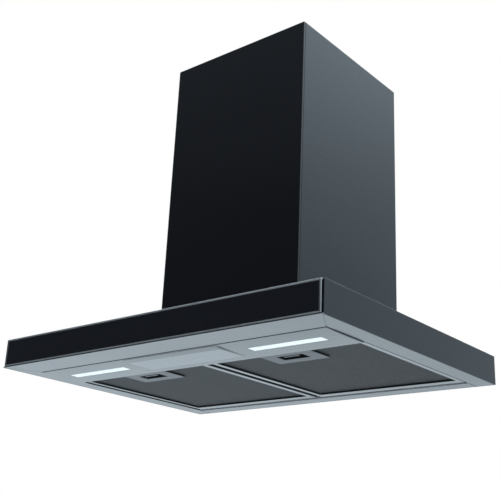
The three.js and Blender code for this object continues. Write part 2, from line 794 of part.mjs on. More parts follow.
piece(fan, "motor_bracket", join(
  rod("x", motorBoss + bracketRing, bracketEnd, bracketIn, [0, 0, 0], smallSteps),
  ...Array.from({ length: armCount }, (_, i) =>
    block(bracketEnd, bracketIn, -armWidth / 2, armWidth / 2, 0, inletFlange - armEnd)
      .rotateX((i / armCount) * 2 * Math.PI)),
), zincSteel).position.set(0, fanY, fanCentreZ);

// ---- outlet collar with its pair of non-return flaps ----

const outlet = new THREE.Group();
outlet.position.set(0, outletY, boxTop + fit);
fan.add(outlet);
const boreRadius = collarRadius - collarWall;
const boreFlat = boreRadius * Math.cos(Math.PI / roundSteps);
const stopTop = flapHeight - flapThickness / 2 - fit;
const collar = turned([
  [boreRadius, 0],
  [collarFlange, 0],
  [collarFlange, collarWall],
  [collarRadius, collarWall],
  [collarRadius, collarHeight],
  [boreRadius, collarHeight],
  [boreRadius, stopTop],
  [boreRadius - stopWidth, stopTop],
  [boreRadius - stopWidth, stopTop - stopThickness],
  [boreRadius, stopTop - stopThickness],
  [boreRadius, 0],
]);
piece(outlet, "outlet_collar",
  cut(collar, rod("x", pinRadius + fit, -boreFlat, boreFlat, [0, 0, flapHeight], pinSteps)),
  blackPlastic);

piece(outlet, "damper_pin", rod("x", pinRadius, fit - boreFlat, boreFlat - fit, [0, 0, 0], pinSteps),
  zincSteel).position.z = flapHeight;

// Each flap is half a disc with knuckles round the pin. The front one is the rear one turned by half a
// turn, so its knuckles fall between the other's.
const knuckleIn = pinRadius + fit;
const knuckleOut = knuckleIn + knuckleWall;
const flapRadius = boreFlat - 2 * fit;
const flapChord = Math.sqrt(flapRadius ** 2 - knuckleOut ** 2) - knuckleEnd;
const knucklePitch = (2 * flapChord) / knuckleCount;
for (const [label, way] of [["front", -1], ["rear", 1]]) {
  const edge = knuckleOut + fit;
  const half = new THREE.Shape();
  const start = Math.asin(edge / flapRadius);
  half.absarc(0, 0, flapRadius, start, Math.PI - start, false);
  half.closePath();
  const plate = prismZ(half, -flapThickness / 2, flapThickness / 2);
  const knuckles = [];
  for (let i = 1; i < knuckleCount; i += 2) {
    const from = -flapChord + i * knucklePitch + fit;
    const to = from + knucklePitch - 2 * fit;
    knuckles.push(cut(
      join(
        rod("x", knuckleOut, from, to, [0, 0, 0], pinSteps),
        block(from, to, 0, edge + past, -flapThickness / 2, flapThickness / 2),
      ),
      rod("x", knuckleIn, from - past, to + past, [0, 0, 0], pinSteps),
    ));
  }
  const flap = join(plate, ...knuckles);
  if (way < 0) flap.rotateZ(Math.PI);
  piece(outlet, `damper_flap_${label}`, flap, greyPlastic).position.z = flapHeight;
}

// ---- terminal box and capacitor on top of the fan box ----

const shelf = boxTop + fit;
const terminalX = terminalSide - boxHalf;
const terminalY = -terminalBack - terminalDepth;
function terminalTier(inset, top) {
  return block(terminalX + inset, terminalX + terminalWidth - inset, terminalY + inset,
    -terminalBack - inset, shelf, shelf + top);
}
piece(fan, "terminal_box", join(
  terminalTier(0, terminalHeight - terminalLid),
  terminalTier(terminalInset, terminalHeight),
), blackPlastic);
piece(fan, "cable_gland", turned([
  [0, 0],
  [glandRadius, 0],
  [glandRadius, glandFoot],
  [glandRadius - glandWaist, glandFoot],
  [glandRadius - glandWaist, glandHeight / 2],
  [glandRadius, glandHeight / 2],
  [glandRadius - glandWaist, glandHeight],
  [0, glandHeight],
], 6), blackPlastic).position.set(terminalX + terminalWidth / 2, terminalY + terminalDepth / 2,
  shelf + terminalHeight + fit);
piece(fan, "run_capacitor", onXAxis(turned([
  [0, 0],
  [capacitorRadius - capacitorBead, 0],
  [capacitorRadius, capacitorBead],
  [capacitorRadius, capacitorLength - capacitorBead],
  [capacitorRadius - capacitorBead, capacitorLength],
  [capacitorStud, capacitorLength],
  [capacitorStud, capacitorLength + capacitorStud],
  [0, capacitorLength + capacitorStud],
], smallSteps)), aluminium).position.set(boxHalf - capacitorSide - capacitorLength,
  -capacitorBack - capacitorRadius, shelf + capacitorRadius);

// ---- chimney ----

const chimney = new THREE.Group();
hood.add(chimney);

// A channel open towards the wall, with a return along each rear edge.
function sleeve(halfX, front, rear, z0, z1) {
  const path = [[chimneyReturn - halfX, rear], [-halfX, rear], [-halfX, front],
    [halfX, front], [halfX, rear], [halfX - chimneyReturn, rear]];
  return prismZ(foldedSheet(path, sheet), z0, z1);
}
const chimneyHalf = chimneyWidth / 2;
const chimneyLow = canopyHeight + fit;
const chimneyRear = -chimneyBack;
const chimneyFront = chimneyRear - chimneyDepth;
const lowerFront = chimneyFront + chimneyGlass + fit;
piece(chimney, "chimney_glass", block(-chimneyHalf, chimneyHalf, chimneyFront,
  chimneyFront + chimneyGlass, chimneyLow, chimneyTop), blackGlass);
piece(chimney, "chimney_lower", join(
  sleeve(chimneyHalf, lowerFront, chimneyRear, chimneyLow, chimneyTop),
  cut(
    block(-chimneyHalf, chimneyHalf, lowerFront, chimneyRear, chimneyLow, chimneyLow + sheet),
    block(chimneyFoot - chimneyHalf, chimneyHalf - chimneyFoot, lowerFront + chimneyFoot, 0,
      chimneyLow - past, chimneyLow + sheet + past),
  ),
), blackSteel);

// The upper sleeve stands on the lower one's foot until it is pulled up.
const upperLow = chimneyLow + sheet + fit;
const upperHalf = chimneyHalf - sheet - sleeveGap;
const upperFront = lowerFront + sheet + sleeveGap;
const upperRear = chimneyRear - sheet - sleeveGap;
const louvreMid = (upperFront + upperRear) / 2;
const louvres = Array.from({ length: louvreCount }, (_, i) => {
  const top = upperLow + sleeveLength - louvreTop - i * louvrePitch;
  return block(-upperHalf - past, upperHalf + past, louvreMid - louvreLength / 2,
    louvreMid + louvreLength / 2, top - louvreHeight, top);
});
piece(chimney, "chimney_upper", cut(
  sleeve(upperHalf, upperFront, upperRear, upperLow, upperLow + sleeveLength), ...louvres), blackSteel);

// Wall bracket: it passes between the sleeves' returns and turns out against their sides.
const bracketLow = chimneyTop - bracketDrop;
const bracketHalf = upperHalf - chimneyReturn - bracketSlack;
const bracketOut = upperHalf - sheet - fit;
const bracketPath = [
  [-bracketOut, -bracketArm - bracketTab],
  [-bracketOut, -bracketArm],
  [-bracketHalf, -bracketArm],
  [-bracketHalf, 0],
  [bracketHalf, 0],
  [bracketHalf, -bracketArm],
  [bracketOut, -bracketArm],
  [bracketOut, -bracketArm - bracketTab],
];
piece(chimney, "chimney_bracket", prismZ(foldedSheet(bracketPath.reverse(), bracketThickness),
  bracketLow, bracketLow + bracketHeight), zincSteel);

const rangeHood = new THREE.Group();
hood.position.z = -hangHeight;
rangeHood.add(hood);

export default rangeHood;
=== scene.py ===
import json
import math

import bmesh
import bpy
from mathutils import Matrix, Vector


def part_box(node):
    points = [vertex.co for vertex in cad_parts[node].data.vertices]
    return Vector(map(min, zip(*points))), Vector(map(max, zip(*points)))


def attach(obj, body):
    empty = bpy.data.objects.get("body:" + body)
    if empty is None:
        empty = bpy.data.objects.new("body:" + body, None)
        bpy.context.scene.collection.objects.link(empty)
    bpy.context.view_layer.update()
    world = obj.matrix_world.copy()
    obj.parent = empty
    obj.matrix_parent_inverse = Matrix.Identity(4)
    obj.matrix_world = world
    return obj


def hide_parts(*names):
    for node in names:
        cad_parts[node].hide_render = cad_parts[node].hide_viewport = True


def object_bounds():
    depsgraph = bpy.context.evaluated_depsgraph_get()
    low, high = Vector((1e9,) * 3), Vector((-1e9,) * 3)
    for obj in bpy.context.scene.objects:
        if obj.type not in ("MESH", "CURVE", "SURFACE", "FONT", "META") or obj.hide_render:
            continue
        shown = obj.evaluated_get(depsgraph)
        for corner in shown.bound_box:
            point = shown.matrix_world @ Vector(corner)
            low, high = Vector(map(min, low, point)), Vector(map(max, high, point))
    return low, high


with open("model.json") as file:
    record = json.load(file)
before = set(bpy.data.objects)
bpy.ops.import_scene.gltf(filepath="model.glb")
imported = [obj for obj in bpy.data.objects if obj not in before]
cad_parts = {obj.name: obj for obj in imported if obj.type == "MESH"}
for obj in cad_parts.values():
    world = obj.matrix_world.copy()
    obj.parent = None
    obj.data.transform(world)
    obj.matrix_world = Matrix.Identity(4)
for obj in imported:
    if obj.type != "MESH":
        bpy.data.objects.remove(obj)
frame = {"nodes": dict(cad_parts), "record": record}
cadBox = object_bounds()
nodes = frame["nodes"]
slotOf = {entry["node"]: entry["material_slot"] for entry in frame["record"]["subparts"]}
bodyOf = {}
for bodyName, members in frame["record"]["behaviour"]["bodies"].items():
    bodyOf.update({member: bodyName for member in members})
print("loaded", len(nodes), "nodes")


# A socket that can be used in sums.
class Wire:
    def __init__(self, graph, socket):
        self.graph = graph
        self.socket = socket

    def math(self, operation, first, second=0.0):
        return self.graph.node("ShaderNodeMath", {"operation": operation}, {0: first, 1: second})

    def __add__(self, other):
        return self.math("ADD", self, other)

    def __sub__(self, other):
        return self.math("SUBTRACT", self, other)

    def __rsub__(self, other):
        return self.math("SUBTRACT", other, self)

    def __mul__(self, other):
        return self.math("MULTIPLY", self, other)

    def __rmul__(self, other):
        return self.math("MULTIPLY", other, self)

    def __truediv__(self, other):
        return self.math("DIVIDE", self, other)

    def __lt__(self, other):
        return self.math("LESS_THAN", self, other)

    def __gt__(self, other):
        return self.math("GREATER_THAN", self, other)

    def __abs__(self):
        return self.math("ABSOLUTE", self)

    def fraction(self):
        return self.math("FRACT", self)

    def smaller(self, other):
        return self.math("MINIMUM", self, other)

    def blend(self, other, share):
        return self * share + other * (1.0 - share)


colourMix = {"mask": 0, "first": 6, "second": 7, "result": 2}      # sockets of a mix of colours


# A node tree, of a material or of the room.
class Graph:
    def __init__(self, tree):
        self.tree = tree

    def feed(self, socket, value):
        if isinstance(value, Wire):
            self.tree.links.new(value.socket, socket)
        else:
            socket.default_value = value

    def node(self, kind, settings=None, sockets=None, output=0):
        made = self.tree.nodes.new(kind)
        for name, value in (settings or {}).items():
            setattr(made, name, value)
        for name, value in (sockets or {}).items():
            self.feed(made.inputs[name], value)
        return Wire(self, made.outputs[output])

    def split(self, place):
        return [self.node("ShaderNodeSeparateXYZ", sockets={0: place}, output=k) for k in range(3)]

    def span(self, value, low, high, first, last):
        return self.node("ShaderNodeMapRange", {"clamp": True},
                         {0: value, 1: low, 2: high, 3: first, 4: last})

    def tint(self, mask, first, second):
        sockets = {colourMix["mask"]: mask, colourMix["first"]: first, colourMix["second"]: second}
        return self.node("ShaderNodeMix", {"data_type": "RGBA"}, sockets, colourMix["result"])


shaderSockets = {
    "colour": "Base Color", "roughness": "Roughness", "metallic": "Metallic", "normal": "Normal",
    "ior": "IOR", "specularTint": "Specular Tint", "glow": "Emission Strength",
    "glowColour": "Emission Color",
}


class Finish(Graph):
    def __init__(self, name, **values):
        self.material = bpy.data.materials.new(name)
        self.material.use_nodes = True
        super().__init__(self.material.node_tree)
        self.place = self.node("ShaderNodeTexCoord", output="Object")
        self.use(**values)

    def use(self, **values):
        shader = self.tree.nodes["Principled BSDF"]
        for word, value in values.items():
            self.feed(shader.inputs[shaderSockets[word]], value)
        return self.material

    def noise(self, scale, detail=2.0, rough=0.5, stretch=None):
        place = self.place
        if stretch:
            place = self.node("ShaderNodeVectorMath", {"operation": "MULTIPLY"},
                              {0: place, 1: stretch})
        return self.node("ShaderNodeTexNoise", {"noise_dimensions": "3D"},
                         {"Vector": place, "Scale": scale, "Detail": detail, "Roughness": rough})

    def bump(self, height, distance):
        return self.node("ShaderNodeBump", {}, {"Strength": 1.0, "Distance": distance, "Height": height})


noiseSpan = (0.3, 0.7)      # most of a noise's values lie between these
paint = {
    "colour": (0.0185, 0.0210, 0.0250, 1.0),
    "light": (0.0225, 0.0260, 0.0305, 1.0),
    "sheen": (0.84, 0.93, 1.0, 1.0),
    "ior": 1.5,
    "roughness": (0.262, 0.284),
    "fleck": 2600.0,
    "fleckDetail": 1.0,
    "fleckSpan": (0.1, 0.9),
    "peel": 900.0,
    "peelDepth": 0.00002,
}


def paintedSteel():
    made = Finish("paintedSteel", ior=paint["ior"], specularTint=paint["sheen"])
    fleck = made.noise(paint["fleck"], paint["fleckDetail"])
    peel = made.noise(paint["peel"])
    return made.use(
        colour=made.tint(fleck, paint["colour"], paint["light"]),
        roughness=made.span(fleck, *paint["fleckSpan"], *paint["roughness"]),
        normal=made.bump(peel, paint["peelDepth"]),
    )


brushed = {
    "along": 14.0,      # lines per metre, the way the brush went
    "across": 2200.0,
    "detail": 3.0,
    "rough": 0.6,
    "smear": 9.0,
    "lineShare": 0.7,   # of the lines in the roughness, the rest is smear
    "depth": 0.00002,
}
satinSteel = {
    "dark": (0.41, 0.42, 0.43, 1.0),
    "light": (0.52, 0.53, 0.54, 1.0),
    "roughness": (0.20, 0.30),
}
# a lighter copy of the panel's brushed steel for the control cover: painted light for the plate that
# takes no shadow
coverSteelPaintedLight = {
    "dark": (0.52, 0.53, 0.54, 1.0),
    "light": (0.66, 0.67, 0.68, 1.0),
    "roughness": (0.20, 0.30),
}
handleSteel = {
    "dark": (0.26, 0.27, 0.28, 1.0),
    "light": (0.36, 0.37, 0.38, 1.0),
    "roughness": (0.30, 0.42),
}
rawSteel = {
    "dark": (0.42, 0.43, 0.44, 1.0),
    "light": (0.52, 0.53, 0.54, 1.0),
    "roughness": (0.50, 0.62),
    "metallic": 0.3,
}
# a brighter, less metallic copy of the aluminium for the top and bottom bars of the glass frame: painted
# light where those bars catch the light
trimAluminiumLit = {
    "dark": (0.56, 0.58, 0.60, 1.0),
    "light": (0.68, 0.70, 0.72, 1.0),
    "roughness": (0.24, 0.32),
    "metallic": 0.72,
}
satinAluminium = {
    "dark": (0.62, 0.63, 0.645, 1.0),
    "light": (0.76, 0.77, 0.785, 1.0),
    "roughness": (0.26, 0.36),
}


def brushLines(made, alongX):
    along, across = brushed["along"], brushed["across"]
    stretch = (along, across, across) if alongX else (across, along, across)
    return made.noise(1.0, brushed["detail"], brushed["rough"], stretch)


# The lines of the flange turn at the mitres: corner gives where the front corners are.
def brushedSteel(name, metal, corner=None):
    made = Finish(name, metallic=metal.get("metallic", 1.0))
    lines = brushLines(made, True)
    seam = None
    if corner:
        x, y, _ = made.split(made.place)
        inward = (corner["halfWidth"] - abs(x)) / corner["side"]
        back = (y - corner["front"]) / corner["deep"]
        joint = inward - back.smaller(1.0)
        onSide = joint < 0.0
        lines = onSide * brushLines(made, False) + (1 - onSide) * lines
        seam = ((abs(joint) < corner["mitre"]) * (back < 1.0) * corner["mitreShade"]
                + (abs(joint) < corner["butt"]) * (y > corner["rear"]))
    smear = made.noise(brushed["smear"])
    colour = made.tint(lines, metal["dark"], metal["light"])
    return made.use(
        colour=made.tint(seam, colour, corner["seamColour"]) if corner else colour,
        roughness=made.span(lines.blend(smear, brushed["lineShare"]), *noiseSpan, *metal["roughness"]),
        normal=made.bump(lines, brushed["depth"]),
    )


glass = {
    "colour": (0.0100, 0.0103, 0.0134, 1.0),
    "ior": 1.5,
    "roughness": (0.02, 0.06),
    "smear": 22.0,
    "smearDetail": 4.0,
    "smearRough": 0.6,
    "smearSpan": (0.4, 0.8),
}


def blackGlass():
    made = Finish("blackGlass", colour=glass["colour"], ior=glass["ior"])
    smear = made.noise(glass["smear"], glass["smearDetail"], glass["smearRough"])
    return made.use(roughness=made.span(smear, *glass["smearSpan"], *glass["roughness"]))


ground = {
    "dark": (0.010, 0.013, 0.014, 1.0),
    "light": (0.030, 0.034, 0.036, 1.0),
    "roughness": (0.22, 0.38),
    "grain": 1800.0,
}


# The ground edges of the glass.
def groundGlass():
    made = Finish("groundGlass", ior=glass["ior"])
    grain = made.noise(ground["grain"])
    return made.use(
        colour=made.tint(grain, ground["dark"], ground["light"]),
        roughness=made.span(grain, *noiseSpan, *ground["roughness"]),
    )


wire = {
    "dark": (0.150, 0.156, 0.161, 1.0),
    "light": (0.270, 0.278, 0.285, 1.0),
    "roughness": (0.35, 0.55),
    "patch": 60.0,
    "patchShare": 0.5,
    "grain": 1500.0,
}


def filterWire():
    made = Finish("filterWire", metallic=1.0)
    patch = made.noise(wire["patch"])
    grain = made.noise(wire["grain"])
    return made.use(
        colour=made.tint(patch.blend(grain, wire["patchShare"]), wire["dark"], wire["light"]),
        roughness=made.span(grain, *noiseSpan, *wire["roughness"]),
    )


pack = {
    "dark": (0.035, 0.037, 0.039, 1.0),
    "light": (0.150, 0.155, 0.162, 1.0),
    "metallic": 0.6,
    "roughness": 0.55,
    "polish": 0.15,      # how much smoother the strands are
    "scale": 460.0,
    "stretch": (1.0, 1.7, 1.0),
    "strandSpan": (0.42, 0.58),
    "depth": 0.0004,
}


# The deeper layers of the filter, behind the modelled sheet.
def meshPack():
    made = Finish("meshPack", metallic=pack["metallic"])
    strand = made.span(made.noise(pack["scale"], stretch=pack["stretch"]), *pack["strandSpan"], 0.0, 1.0)
    return made.use(
        colour=made.tint(strand, pack["dark"], pack["light"]),
        roughness=pack["roughness"] - strand * pack["polish"],
        normal=made.bump(strand, pack["depth"]),
    )


lens = {
    "colour": (0.68, 0.70, 0.68, 1.0),
    "roughness": 0.4,
    "glow": 0.37,
    "glowDim": (0.86, 0.96, 0.97, 1.0),
    "glowFull": (0.91, 1.0, 1.0, 1.0),
    "frost": 900.0,
    "frostDepth": 0.00005,
}


def lampLens():
    made = Finish("lampLens", colour=lens["colour"], roughness=lens["roughness"], glow=lens["glow"])
    frost = made.noise(lens["frost"])
    return made.use(
        glowColour=made.tint(frost, lens["glowDim"], lens["glowFull"]),
        normal=made.bump(frost, lens["frostDepth"]),
    )


zinc = {
    "dark": (0.40, 0.415, 0.43, 1.0),
    "light": (0.62, 0.635, 0.65, 1.0),
    "roughness": (0.34, 0.52),
    "spangle": 130.0,
    "spangleShare": 0.6,
    "haze": 25.0,
    "hazeDetail": 3.0,
}


def zincSteel():
    made = Finish("zincSteel", metallic=1.0)
    cells = made.node("ShaderNodeTexVoronoi", {"feature": "F1"},
                      {"Vector": made.place, "Scale": zinc["spangle"]}, output="Color")
    level = made.node("ShaderNodeSeparateColor", sockets={0: cells})
    haze = made.noise(zinc["haze"], zinc["hazeDetail"])
    return made.use(
        colour=made.tint(level.blend(haze, zinc["spangleShare"]), zinc["dark"], zinc["light"]),
        roughness=made.span(level, 0.0, 1.0, *zinc["roughness"]),
    )


plastics = {
    "blackPlastic": {"dark": (0.012, 0.012, 0.013, 1.0), "light": (0.024, 0.024, 0.026, 1.0),
                     "roughness": (0.45, 0.60)},
    # painted shade: a black that stands in for the shadow in recesses, gaps and seams
    "paintedShadeBlack": {"dark": (0.006, 0.006, 0.007, 1.0), "light": (0.012, 0.012, 0.013, 1.0),
                 "roughness": (0.60, 0.75)},
    "greyPlastic": {"dark": (0.42, 0.43, 0.44, 1.0), "light": (0.52, 0.53, 0.54, 1.0),
                    "roughness": (0.40, 0.55)},
    "floorPaint": {"dark": (0.78, 0.78, 0.79, 1.0), "light": (0.82, 0.82, 0.83, 1.0),
                   "roughness": (0.70, 0.80)},
}
moulding = {"ior": 1.46, "grain": 1400.0, "grainShare": 0.5, "flow": 40.0, "depth": 0.00003}


def plastic(name):
    made = Finish(name, ior=moulding["ior"])
    grain = made.noise(moulding["grain"])
    flow = made.noise(moulding["flow"])
    look = plastics[name]
    return made.use(
        colour=made.tint(grain.blend(flow, moulding["grainShare"]), look["dark"], look["light"]),
        roughness=made.span(flow, *noiseSpan, *look["roughness"]),
        normal=made.bump(grain, moulding["depth"]),
    )


board = {
    "mask": (0.010, 0.075, 0.030, 1.0),
    "track": (0.030, 0.19, 0.070, 1.0),
    "roughness": 0.35,
    "ior": 1.5,
    "pitch": 260.0,      # tracks per metre
    "gap": 0.72,         # between two tracks, as a share of the pitch
    "breaks": 420.0,
    "breakLevel": 0.5,
}


def circuitBoard():
    made = Finish("circuitBoard", roughness=board["roughness"], ior=board["ior"])
    x, _, _ = made.split(made.place)
    tracks = (((x * board["pitch"]).fraction() > board["gap"])
              * (made.noise(board["breaks"]) > board["breakLevel"]))
    return made.use(colour=made.tint(tracks, board["mask"], board["track"]))


laminations = {
    "dark": (0.14, 0.145, 0.15, 1.0),
    "light": (0.26, 0.265, 0.27, 1.0),
    "metallic": 0.8,
    "roughness": (0.35, 0.50),
    "pitch": 900.0,      # plates per metre
    "depth": 0.00008,
    "grime": 60.0,
    "grimeDetail": 3.0,
}


def motorSteel():
    made = Finish("motorSteel", metallic=laminations["metallic"])
    x, _, _ = made.split(made.place)
    plate = (x * laminations["pitch"]).fraction()
    grime = made.noise(laminations["grime"], laminations["grimeDetail"])
    return made.use(
        colour=made.tint(grime, laminations["dark"], laminations["light"]),
        roughness=made.span(grime, *noiseSpan, *laminations["roughness"]),
        normal=made.bump(plate, laminations["depth"]),
    )


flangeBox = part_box("underside_frame")
flangeCorner = {
    "halfWidth": flangeBox[1][0],
    "side": 0.030,
    "front": flangeBox[0][1],
    "deep": 0.0505,
    "rear": -0.0260,     # behind this the sides run past the rear strip
    "mitre": 0.0070,     # half widths of the joint lines, as shares of the side
    "butt": 0.0250,
    "mitreShade": 0.7,   # how much of the seam's colour the mitre shows
    "seamColour": (0.05, 0.05, 0.05, 1.0),
}
finishes = {
    "painted_steel": paintedSteel(),
    "brushed_steel": brushedSteel("brushedFlange", satinSteel, flangeCorner),
    "black_glass": blackGlass(),
    "aluminium": brushedSteel("satinAluminium", satinAluminium),
    "filter_mesh": meshPack(),
    "lamp_lens": lampLens(),
    "zinc_steel": zincSteel(),
    "black_plastic": plastic("blackPlastic"),
    "grey_plastic": plastic("greyPlastic"),
    "circuit_board": circuitBoard(),
    "motor_steel": motorSteel(),
}
panelFinish = brushedSteel("brushedPanel", satinSteel)
coverFinish = brushedSteel("brushedCoverPaintedLight", coverSteelPaintedLight)
handleFinish = brushedSteel("brushedHandle", handleSteel)
groundFinish = groundGlass()
shadeFinish = plastic("paintedShadeBlack")
wireFinish = filterWire()
trimFinish = brushedSteel("brightTrimPaintedLight", trimAluminiumLit)
rawFinish = brushedSteel("rawLip", rawSteel)
nodeFinish = {name: finishes[slotOf[name]] for name in nodes}
nodeFinish.update({
    "lamp_panel": panelFinish,
    "control_cover": coverFinish,
    # the centre rail, behind the gap between the filters, gets the black paint: painted shade, so the
    # gap shows dark
    "centre_rail": finishes["painted_steel"],
    "filter_handle_left": handleFinish, "filter_handle_right": handleFinish,
    "latch_left": handleFinish, "latch_right": handleFinish,
})
for name, item in nodes.items():
    for place in item.material_slots:
        place.material = nodeFinish[name]
print("finishes made")


def meshOf(shape, name, *looks):
    mesh = bpy.data.meshes.new(name)
    shape.to_mesh(mesh)
    shape.free()
    for look in looks:
        mesh.materials.append(look)
    return mesh


def link(mesh):
    piece = bpy.data.objects.new(mesh.name, mesh)
    bpy.context.collection.objects.link(piece)
    return piece


# Shows a mesh in place of a CAD node.
def show(mesh, name):
    piece = link(mesh)
    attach(piece, bodyOf[name])
    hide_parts(name)
    return piece


# Adds a mesh that stands for no CAD node.
def add(mesh, body):
    piece = link(mesh)
    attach(piece, body)


easing = {
    "corner": 28.0,       # degrees: flatter folds stay smooth, sharper ones get a round edge
    "corners": {"control_cover": 6.0},
    "segments": 2,
    "share": 0.3,         # of the narrower face beside an edge
    "weld": 0.000001,     # metres
    "flat": 0.4,          # degrees within which two faces are one
    "fold": 1.01,         # a face folds over itself if its triangles cover more than this share
    "least": 0.0000005,   # and this area in square metres
    "tries": 5,
    "flattening": 100,    # how far large faces set the direction of the corners they share
    "swing": 15.0,        # degrees that a corner of a flat face may lean
    "sameWay": 0.99999,   # how alike the directions of two faces in one plane are
    "samePlane": 0.00005,
    "widths": {           # metres
        "canopy_shell": 0.0007, "chimney_lower": 0.0007, "chimney_upper": 0.0006,
        "underside_frame": 0.0005,
        "lamp_panel": 0.0006, "control_cover": 0.0007, "control_box": 0.0012,
        "filter_frame_left": 0.0018, "filter_frame_right": 0.0018,
        "filter_handle_left": 0.0006, "filter_handle_right": 0.0006,
        "front_glass": 0.0008, "chimney_glass": 0.0008,
        "lamp_lens_left": 0.0004, "lamp_lens_right": 0.0004,
        "centre_rail": 0.0006, "chimney_bracket": 0.0006, "fan_box": 0.0006,
        "terminal_box": 0.0010, "latch_left": 0.0002, "latch_right": 0.0002,
    },
    "sharpEnds": {"canopy_shell": 0.0040},       # how far back from the front edges stay sharp
    "smooth": ["scroll_housing", "inlet_ring_left", "inlet_ring_right", "impeller", "fan_motor",
               "motor_bracket", "outlet_collar", "damper_pin", "damper_flap_front",
               "damper_flap_rear", "cable_gland", "run_capacitor"],
}


def cleanShape(name):
    shape = bmesh.new()
    shape.from_mesh(nodes[name].data)
    bmesh.ops.remove_doubles(shape, verts=shape.verts, dist=easing["weld"])
    bmesh.ops.dissolve_limit(shape, angle_limit=math.radians(easing["flat"]),
                             verts=shape.verts, edges=shape.edges)
    shape.faces.index_update()
    return shape


# Whether a face, given by its direction and centre, lies in one of the planes.
def liesIn(planes, direction, centre):
    return any(direction.dot(normal) > easing["sameWay"]
               and abs(normal.dot(centre) - level) < easing["samePlane"] for normal, level in planes)


# Planes of the faces that fold over themselves: their triangles cover more than their outline.
def foldedPlanes(mesh):
    covered = [0.0] * len(mesh.polygons)
    mesh.calc_loop_triangles()
    for triangle in mesh.loop_triangles:
        covered[triangle.polygon_index] += triangle.area
    return [(face.normal.copy(), face.normal.dot(face.center)) for face in mesh.polygons
            if len(face.vertices) > 4
            and covered[face.index] > face.area * easing["fold"] + easing["least"]]


# Gives the corners of flat faces that lean towards a wall the direction of their own face.
def straighten(mesh, planes):
    limit = math.cos(math.radians(easing["swing"]))
    directions = [corner.vector.copy() for corner in mesh.corner_normals]
    for face in mesh.polygons:
        leaning = [loop for loop in face.loop_indices if directions[loop].dot(face.normal) < limit]
        if leaning and liesIn(planes, face.normal, face.center):
            for loop in leaning:
                directions[loop] = face.normal.copy()
    mesh.normals_split_custom_set(directions)


# A copy of the mesh with its weighted edges rounded. The mesh itself is removed.
def bevelled(mesh, width):
    piece = link(mesh)
    rounding = piece.modifiers.new("rounding", "BEVEL")
    rounding.limit_method = "WEIGHT"
    rounding.width = width
    rounding.segments = easing["segments"]
    rounding.use_clamp_overlap = False
    flattening = piece.modifiers.new("flattening", "WEIGHTED_NORMAL")
    flattening.mode = "FACE_AREA"
    flattening.weight = easing["flattening"]
    flattening.keep_sharp = True
    finished = piece.evaluated_get(bpy.context.evaluated_depsgraph_get())
    made = bpy.data.meshes.new_from_object(finished)
    bpy.data.objects.remove(piece)
    bpy.data.meshes.remove(mesh)
    return made


# A node with its edges rounded to width, except round the faces that lie in the planes given.
def rounded(name, width, planes):
    shape = cleanShape(name)
    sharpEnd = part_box(name)[0].y + easing["sharpEnds"].get(name, -1.0)
    corner = math.radians(easing["corners"].get(name, easing["corner"]))
    kept = {face.index for face in shape.faces
            if liesIn(planes, face.normal, face.calc_center_median())}
    weight = shape.edges.layers.float.new("bevel_weight_edge")
    for edge in shape.edges:
        if edge.calc_face_angle(0.0) < corner:
            continue
        beside = edge.link_faces
        if (max(end.co.y for end in edge.verts) < sharpEnd
                or any(face.index in kept for face in beside)):
            edge.smooth = False
            continue
        narrow = min(2 * face.calc_area() / face.calc_perimeter() for face in beside)
        edge[weight] = min(1.0, easing["share"] * narrow / width)
    flats = [(face.normal.copy(), face.normal.dot(face.calc_center_median()))
             for face in shape.faces]
    for face in shape.faces:
        face.smooth = True
    made = bevelled(meshOf(shape, name, nodeFinish[name]), width)
    straighten(made, flats)
    return made


# Shows a node with rounded edges. Faces that the rounding folds keep sharp edges.
def eased(name, width):
    planes = []
    for _ in range(easing["tries"]):
        mesh = rounded(name, width, planes)
        folded = foldedPlanes(mesh)
        if not folded:
            break
        planes += folded
    else:
        print("folded faces left on", name)
    mesh.name = name + "_eased"
    return show(mesh, name)


# Shows a node with its curved faces shaded smooth.
def smoothed(name):
    shape = cleanShape(name)
    for face in shape.faces:
        face.smooth = True
    mesh = meshOf(shape, name + "_eased", nodeFinish[name])
    mesh.set_sharp_from_angle(angle=math.radians(easing["corner"]))
    return show(mesh, name)


pieces = {name: eased(name, width) for name, width in easing["widths"].items()}
pieces.update({name: smoothed(name) for name in easing["smooth"]})


# Gives the faces of a piece that answer a test a second finish.
def refinish(name, finish, test):
    mesh = pieces[name].data
    mesh.materials.append(finish)
    for face in mesh.polygons:
        face.material_index = int(test(face))


recess = {
    "wall": 0.0030,       # how far in the inner faces of a filter frame begin
    "middle": 0.0060,     # half the band between the filters
    "plate": 0.0006,      # thickness of the bright face of a handle
    "upright": 0.5,       # a wall's direction has less than this of the vertical
    "edge": 0.7,          # and an edge of the glass less than this of the front's
    "lip": -0.030,        # the inner face of the rear lip lies behind this
    "lipFacing": -0.9,
}


# Painted shade: the inner walls of a filter frame, its walls beside the gap between the filters and the
# raised sides of its handle plate get the black shade finish, standing in for the shadow in these
# recesses.
def paintShadeInside(side):
    low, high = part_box("filter_frame_" + side)
    wall = recess["wall"]

    def within(face):
        x, y, _ = face.center
        inner = low.x + wall < x < high.x - wall and low.y + wall < y < high.y - wall
        return abs(face.normal.z) < recess["upright"] and (inner or abs(x) < recess["middle"])

    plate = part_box("filter_handle_" + side)[0].z + recess["plate"]
    refinish("filter_frame_" + side, shadeFinish, within)
    refinish("filter_handle_" + side, shadeFinish, lambda face: face.center.z > plate)


refinish("chimney_glass", groundFinish, lambda face: abs(face.normal.y) < recess["edge"])
refinish("underside_frame", rawFinish,
         lambda face: face.normal.y < recess["lipFacing"] and face.center.y > recess["lip"])
for side in ("left", "right"):
    paintShadeInside(side)
print("edges eased on", len(pieces), "nodes")


frameBars = {
    "side": 0.0028, "top": 0.0026, "bottom": 0.0019,             # widths of the bars
    "past": 0.0015, "pastTop": 0.0026, "pastBottom": 0.0014,     # outwards from the glass's edges
    "setBack": 0.0002,      # behind the front of the glass
    "round": 0.0009,
    "steps": 4,
    "crease": 40.0,         # degrees
}


